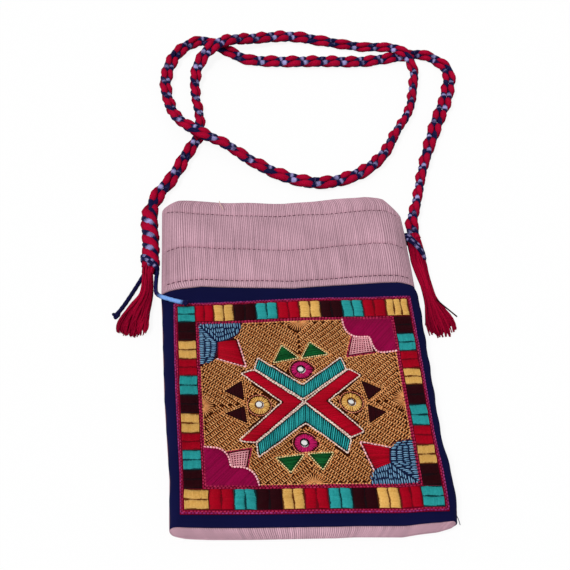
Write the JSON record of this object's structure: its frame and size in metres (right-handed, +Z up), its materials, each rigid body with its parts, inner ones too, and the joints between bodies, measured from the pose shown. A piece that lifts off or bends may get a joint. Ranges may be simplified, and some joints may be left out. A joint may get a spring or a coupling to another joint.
{
  "type": "crossbody pouch",
  "caption": "Flat open-topped corduroy pouch with an embroidered, mirror-set front patch and a plaited crossbody strap ending in tassels.",
  "frame": {"origin": "on the surface under the middle of the pouch, the strap and its tassels not counted", "axes": "the pouch lies on its back: +Y runs from its base to its open mouth, +Z is up out of the embroidered front, +X is to the right as the front is seen with the mouth at the top"},
  "size_m": [0.2462, 0.3982, 0.0164],
  "materials": {
    "corduroy": "fine-wale cotton corduroy, dusty pink",
    "navy_cloth": "plain woven cotton, navy",
    "lining_cloth": "plain thin cotton, pink",
    "ground_cloth": "crimson ground cloth with couched magenta edging",
    "mustard_thread": "mustard chain stitch in close rows",
    "teal_thread": "teal satin stitch",
    "gold_thread": "gold satin stitch",
    "red_thread": "red satin stitch",
    "maroon_thread": "dark maroon satin stitch",
    "green_thread": "dark green satin stitch",
    "magenta_thread": "magenta satin and buttonhole stitch",
    "blue_thread": "dusty blue herringbone stitch on a dark ground",
    "blush_thread": "blush pink satin stitch",
    "mirror_glass": "small round mirrors, bright",
    "plait_yarn": "soft red yarn, plaited with a navy satin cord",
    "satin_cord": "thin navy satin cord with a violet sheen"
  },
  "bodies": {
    "root": {"back_panel": "corduroy", "top_band": "corduroy", "navy_panel": "navy_cloth", "lining": "lining_cloth", "patch_ground": "ground_cloth", "stitched_field": "mustard_thread", "teal_block_top_1": "teal_thread", "gold_block_top_3": "gold_thread", "teal_block_top_5": "teal_thread", "gold_block_top_7": "gold_thread", "teal_block_top_9": "teal_thread", "gold_block_top_11": "gold_thread", "gold_block_bottom_1": "gold_thread", "teal_block_bottom_3": "teal_thread", "gold_block_bottom_5": "gold_thread", "teal_block_bottom_7": "teal_thread", "gold_block_bottom_9": "gold_thread", "teal_block_bottom_11": "teal_thread", "gold_block_left_3": "gold_thread", "teal_block_left_5": "teal_thread", "gold_block_left_7": "gold_thread", "teal_block_left_9": "teal_thread", "teal_block_right_3": "teal_thread", "gold_block_right_5": "gold_thread", "teal_block_right_7": "teal_thread", "gold_block_right_9": "gold_thread", "chevron_teal_top": "teal_thread", "chevron_teal_bottom": "teal_thread", "chevron_red_left": "red_thread", "chevron_red_right": "red_thread", "triangle_green_top_left": "green_thread", "triangle_green_top_right": "green_thread", "triangle_green_bottom_left": "green_thread", "triangle_green_bottom_right": "green_thread", "triangle_maroon_left_upper": "maroon_thread", "triangle_maroon_left_lower": "maroon_thread", "triangle_maroon_right_upper": "maroon_thread", "triangle_maroon_right_lower": "maroon_thread", "corner_top_left": "blue_thread", "corner_top_right": "magenta_thread", "corner_bottom_left": "magenta_thread", "corner_bottom_right": "blue_thread", "wedge_top_left": "red_thread", "wedge_top_right": "blush_thread", "wedge_bottom_left": "blush_thread", "wedge_bottom_right": "red_thread", "mirror_ring_top": "magenta_thread", "mirror_ring_left": "gold_thread", "mirror_ring_right": "gold_thread", "mirror_ring_bottom": "magenta_thread", "mirror_top": "mirror_glass", "mirror_left": "mirror_glass", "mirror_right": "mirror_glass", "mirror_bottom": "mirror_glass", "strap": "plait_yarn", "tassel_left": "plait_yarn", "tassel_right": "plait_yarn", "satin_end_hanging": "satin_cord", "satin_end_front": "satin_cord"}
  },
  "joints": []
}
